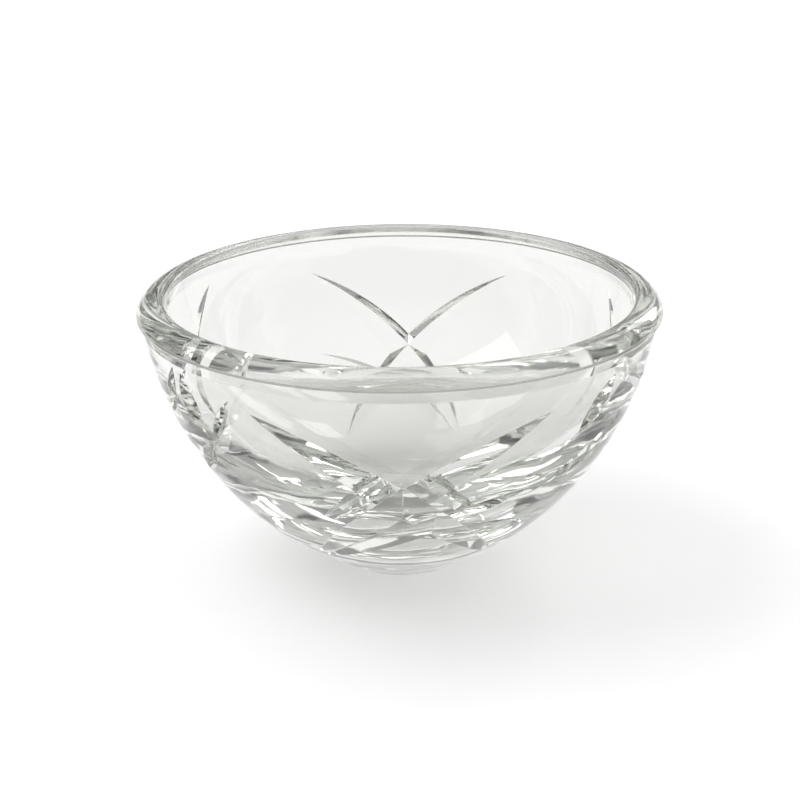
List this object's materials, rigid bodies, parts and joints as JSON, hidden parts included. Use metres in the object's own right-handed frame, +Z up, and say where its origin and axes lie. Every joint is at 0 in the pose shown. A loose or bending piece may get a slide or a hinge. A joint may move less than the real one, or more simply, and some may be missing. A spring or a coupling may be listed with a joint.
{
  "type": "dappen dish",
  "caption": "Small round open bowl of clear cut crystal with a rolled rim, leaf-shaped V cuts round the outside and a flat base, for holding nail liquids.",
  "frame": {"origin": "centre of the flat base, in the plane the dish rests on", "axes": "+Z up along the axis of the bowl, -Y towards the front, where a large cross of the cut pattern is centred"},
  "size_m": [0.0598, 0.0598, 0.0325],
  "materials": {
    "crystal": "polished, clear, with a faint grey-green tint in thick places"
  },
  "bodies": {
    "root": {"glass_dish": "crystal"}
  },
  "joints": []
}
